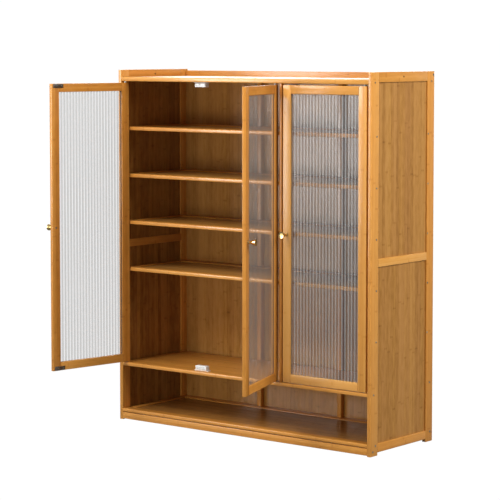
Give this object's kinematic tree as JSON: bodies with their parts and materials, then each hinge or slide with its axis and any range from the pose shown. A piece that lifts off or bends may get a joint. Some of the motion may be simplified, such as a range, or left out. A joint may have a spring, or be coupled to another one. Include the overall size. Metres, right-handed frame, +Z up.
{
  "type": "shoe cabinet",
  "caption": "Tall bamboo shoe cabinet with framed reeded acrylic doors on pivot pins, fixed shelves, a tall boot bay and an open bay at the bottom.",
  "frame": {"origin": "on the floor line, at the middle of the width, in the plane of the back face", "axes": "+X to the right seen from the front, +Y towards the wall behind, +Z up; the doors face -Y"},
  "size_m": [1.0715, 0.6345, 1.16],
  "materials": {
    "bamboo_frame": "clear satin lacquer",
    "bamboo_panel": "clear satin lacquer",
    "acrylic": "reeded, translucent",
    "brass": "polished",
    "steel": "zinc plated",
    "white_plastic": "moulded"
  },
  "bodies": {
    "carcass": {"left_front_post": "bamboo_frame", "left_back_post": "bamboo_frame", "left_top_rail": "bamboo_frame", "left_middle_rail": "bamboo_frame", "left_bottom_rail": "bamboo_frame", "left_upper_panel": "bamboo_panel", "left_lower_panel": "bamboo_panel", "right_front_post": "bamboo_frame", "right_back_post": "bamboo_frame", "right_top_rail": "bamboo_frame", "right_middle_rail": "bamboo_frame", "right_bottom_rail": "bamboo_frame", "right_upper_panel": "bamboo_panel", "right_lower_panel": "bamboo_panel", "top_board": "bamboo_frame", "gallery_rail": "bamboo_frame", "floor_board": "bamboo_frame", "base_frame": "bamboo_frame", "base_panel": "bamboo_panel", "shelf_1_frame": "bamboo_frame", "shelf_1_panel": "bamboo_panel", "shelf_2_frame": "bamboo_frame", "shelf_2_panel": "bamboo_panel", "shelf_3_frame": "bamboo_frame", "shelf_3_panel": "bamboo_panel", "shelf_4_frame": "bamboo_frame", "shelf_4_panel": "bamboo_panel", "front_apron": "bamboo_frame", "rear_apron": "bamboo_frame", "centre_post": "bamboo_frame", "back_batten_1": "bamboo_frame", "back_batten_2": "bamboo_frame", "back_panel": "bamboo_panel", "double_catch_top": "white_plastic", "double_catch_bottom": "white_plastic", "right_catch": "white_plastic"},
    "left_door": {"left_door_hinge_stile": "bamboo_frame", "left_door_outer_stile": "bamboo_frame", "left_door_top_rail": "bamboo_frame", "left_door_bottom_rail": "bamboo_frame", "left_door_acrylic": "acrylic", "left_door_knob": "brass", "left_door_top_pin": "steel", "left_door_bottom_pin": "steel"},
    "middle_door": {"middle_door_hinge_stile": "bamboo_frame", "middle_door_outer_stile": "bamboo_frame", "middle_door_top_rail": "bamboo_frame", "middle_door_bottom_rail": "bamboo_frame", "middle_door_acrylic": "acrylic", "middle_door_knob": "brass", "middle_door_top_pin": "steel", "middle_door_bottom_pin": "steel"},
    "right_door": {"right_door_hinge_stile": "bamboo_frame", "right_door_outer_stile": "bamboo_frame", "right_door_top_rail": "bamboo_frame", "right_door_bottom_rail": "bamboo_frame", "right_door_acrylic": "acrylic", "right_door_knob": "brass", "right_door_top_pin": "steel", "right_door_bottom_pin": "steel"}
  },
  "joints": [
    {"name": "left_door_swing", "type": "hinge", "parent": "carcass", "child": "left_door", "pos_m": [-0.481, -0.332, 0.195], "axis": [0, 0, -1], "range_deg": [-99.5, 20.5]},
    {"name": "middle_door_swing", "type": "hinge", "parent": "carcass", "child": "middle_door", "pos_m": [0.141, -0.332, 0.195], "axis": [0, 0, 1], "range_deg": [-110, 10]},
    {"name": "right_door_swing", "type": "hinge", "parent": "carcass", "child": "right_door", "pos_m": [0.48, -0.332, 0.195], "axis": [0, 0, 1], "range_deg": [0, 120]}
  ]
}
